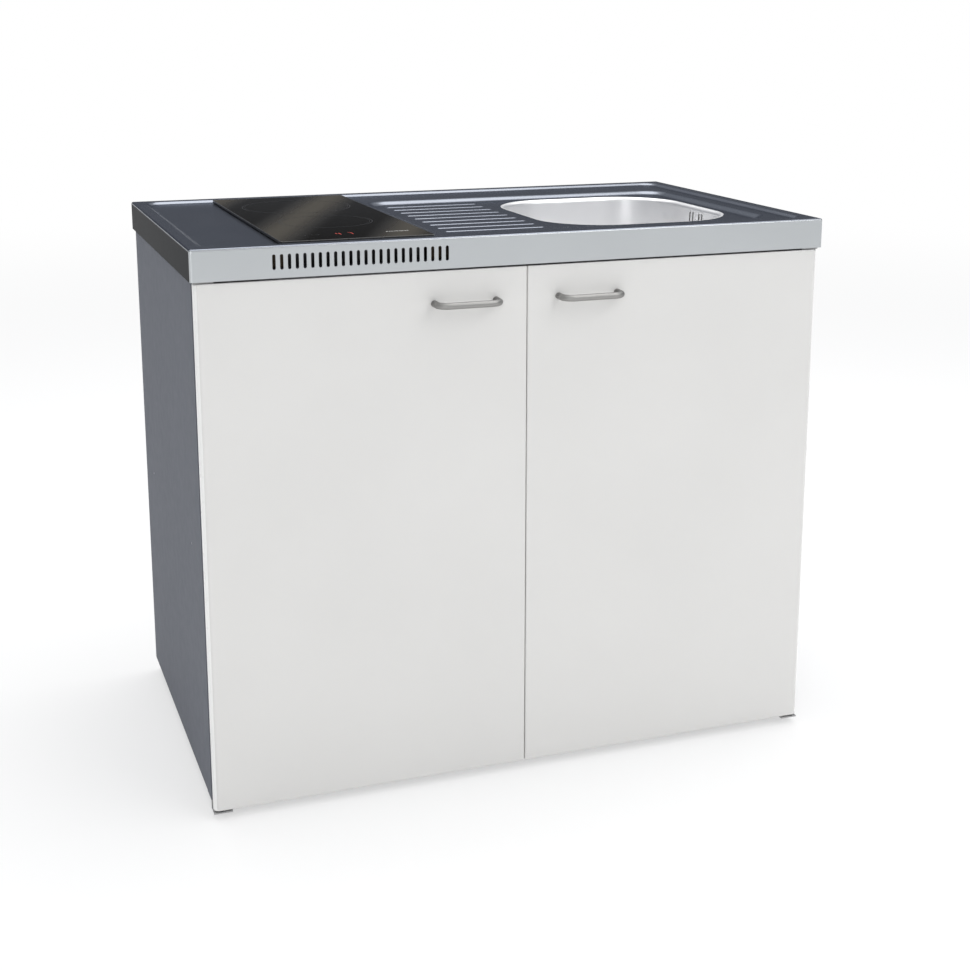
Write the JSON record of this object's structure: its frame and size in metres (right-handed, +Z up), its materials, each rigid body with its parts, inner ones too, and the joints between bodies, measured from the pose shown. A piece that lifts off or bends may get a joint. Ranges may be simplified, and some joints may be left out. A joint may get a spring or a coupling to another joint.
{
  "type": "kitchenette unit",
  "caption": "Compact kitchenette: steel base cabinet with hinged doors under a pressed stainless worktop with a flat glass hob, a ribbed drainer and a deep sink bowl.",
  "frame": {"origin": "on the floor, under the middle of the whole unit with its handles", "axes": "+X along the width towards the sink side, +Y from the doors to the back, +Z up"},
  "size_m": [1, 0.63, 0.861],
  "materials": {
    "stainless_top": "fine linen-rolled stainless sheet, slightly worn",
    "stainless_bowl": "smooth drawn stainless steel, brighter than the top",
    "polished_steel": "polished stainless fittings",
    "zinc_steel": "zinc-plated sheet and wire",
    "cabinet_paint": "grey stove enamel, satin",
    "door_paint": "warm white stove enamel, satin",
    "handle_metal": "satin nickel look",
    "hob_glass": "black glass ceramic, glossy, opaque",
    "timber": "plain pine battens",
    "white_pipe": "white polypropylene waste fittings",
    "black_rubber": "black sealing rubber and foam",
    "bitumen_pad": "damping pad",
    "mineral_board": "pressed mineral insulation and ceramic",
    "filler_board": "paper honeycomb filling",
    "circuit_board": "printed circuit board",
    "dark_nylon": "dark grey nylon"
  },
  "bodies": {
    "cabinet": {"worktop": "stainless_top", "sink_bowl": "stainless_bowl", "sound_pads": "bitumen_pad", "edge_battens": "timber", "cross_battens": "timber", "hob_glass": "hob_glass", "hob_seal": "black_rubber", "hob_tray": "zinc_steel", "hob_clips": "zinc_steel", "heater_dishes": "zinc_steel", "heater_insulation": "mineral_board", "heater_ribbons": "zinc_steel", "heater_limiters": "mineral_board", "control_box": "dark_nylon", "control_board": "circuit_board", "terminal_block": "dark_nylon", "cable_gland": "dark_nylon", "waste_cup": "polished_steel", "waste_gaskets": "black_rubber", "waste_body": "white_pipe", "waste_screws": "polished_steel", "overflow_head": "white_pipe", "overflow_hose": "white_pipe", "trap_tailpipe": "white_pipe", "trap_bottle": "white_pipe", "trap_cup": "white_pipe", "trap_nuts": "white_pipe", "outlet_pipe": "white_pipe", "left_side": "cabinet_paint", "right_side": "cabinet_paint", "floor_panel": "cabinet_paint", "back_panel": "cabinet_paint", "front_rail": "cabinet_paint", "rear_rail": "cabinet_paint", "partition": "cabinet_paint", "shelf": "cabinet_paint", "shelf_pins": "zinc_steel", "foot_blocks": "dark_nylon", "hinge_brackets": "zinc_steel", "hinge_pins": "polished_steel", "catch_magnets": "dark_nylon", "door_buffers": "black_rubber", "worktop_screws": "zinc_steel"},
    "left_door": {"left_door_skin": "door_paint", "left_door_core": "filler_board", "left_door_liner": "door_paint", "left_pivot_blocks": "dark_nylon", "left_handle": "handle_metal", "left_handle_screws": "zinc_steel"},
    "right_door": {"right_door_skin": "door_paint", "right_door_core": "filler_board", "right_door_liner": "door_paint", "right_pivot_blocks": "dark_nylon", "right_handle": "handle_metal", "right_handle_screws": "zinc_steel"},
    "strainer": {"basket_strainer": "polished_steel"},
    "foot_front_left": {"foot_front_left": "dark_nylon"},
    "foot_front_right": {"foot_front_right": "dark_nylon"},
    "foot_rear_left": {"foot_rear_left": "dark_nylon"},
    "foot_rear_right": {"foot_rear_right": "dark_nylon"}
  },
  "joints": [
    {"name": "left_door_hinge", "type": "hinge", "parent": "cabinet", "child": "left_door", "pos_m": [-0.485, -0.272, 0.413], "axis": [0, 0, -1], "range_deg": [0, 110]},
    {"name": "right_door_hinge", "type": "hinge", "parent": "cabinet", "child": "right_door", "pos_m": [0.485, -0.272, 0.413], "axis": [0, 0, 1], "range_deg": [0, 110]},
    {"name": "strainer_lift", "type": "slide", "parent": "cabinet", "child": "strainer", "axis": [0, 0, 1], "range_m": [0, 0.08]},
    {"name": "foot_front_left_screw", "type": "slide", "parent": "cabinet", "child": "foot_front_left", "axis": [0, 0, -1], "range_m": [0, 0.012]},
    {"name": "foot_front_right_screw", "type": "slide", "parent": "cabinet", "child": "foot_front_right", "axis": [0, 0, -1], "range_m": [0, 0.012]},
    {"name": "foot_rear_left_screw", "type": "slide", "parent": "cabinet", "child": "foot_rear_left", "axis": [0, 0, -1], "range_m": [0, 0.012]},
    {"name": "foot_rear_right_screw", "type": "slide", "parent": "cabinet", "child": "foot_rear_right", "axis": [0, 0, -1], "range_m": [0, 0.012]}
  ]
}
